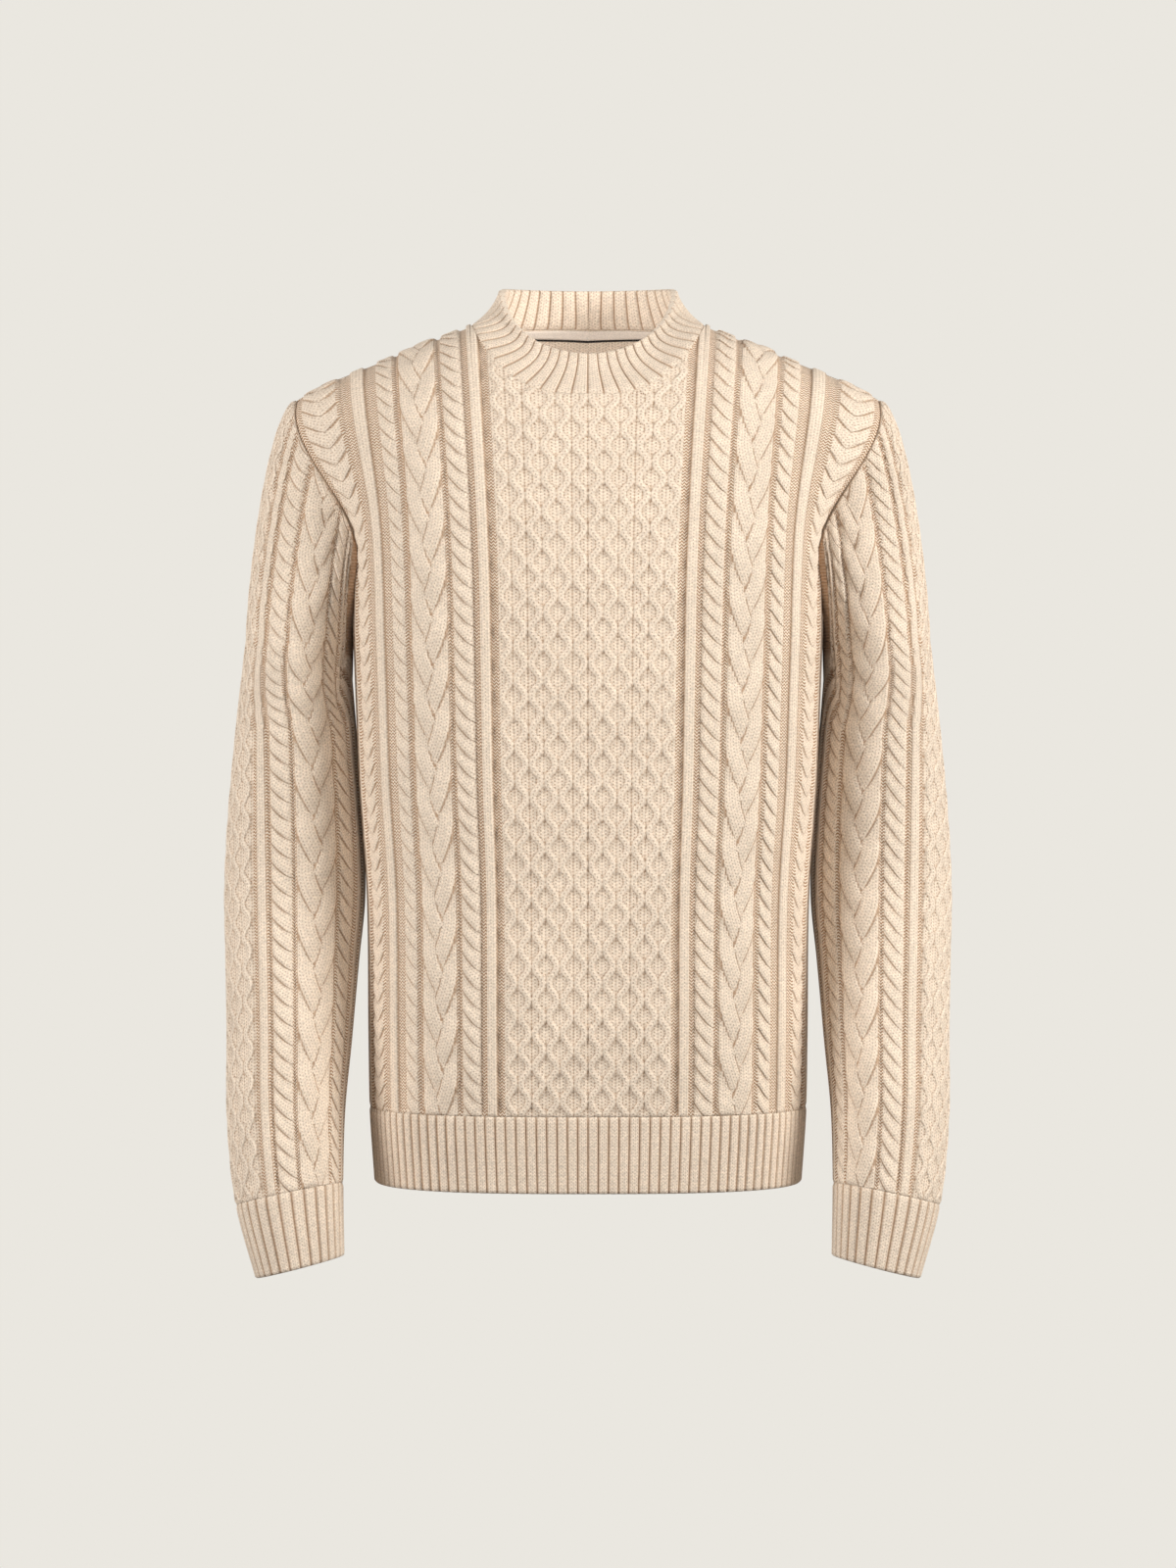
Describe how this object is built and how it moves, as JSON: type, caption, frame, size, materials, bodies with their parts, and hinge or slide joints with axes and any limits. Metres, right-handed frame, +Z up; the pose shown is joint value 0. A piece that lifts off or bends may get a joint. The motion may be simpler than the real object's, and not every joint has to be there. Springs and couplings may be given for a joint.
{
  "type": "sweater",
  "caption": "Cable knit crew-neck sweater with a honeycomb front between rope and plait columns, set-in long sleeves and ribbed neckband, hem and cuffs, held in its worn shape.",
  "frame": {"origin": "the middle of the neck, level with the inner ends of the shoulder seams, where the wearer's neck holds the garment", "axes": "+Z up along the body, -Y out of the front, +X to the wearer's left"},
  "size_m": [0.5842, 0.2599, 0.7935],
  "materials": {
    "yarn": "heathered oatmeal wool knit",
    "tape": "flat woven cotton tape",
    "binding": "black edge of the tape"
  },
  "bodies": {
    "root": {"front_panel": "yarn", "back_panel": "yarn", "sleeve_left": "yarn", "sleeve_right": "yarn", "neckband": "yarn", "hem_rib": "yarn", "cuff_left": "yarn", "cuff_right": "yarn", "neck_tape": "tape", "tape_binding": "binding"}
  },
  "joints": []
}
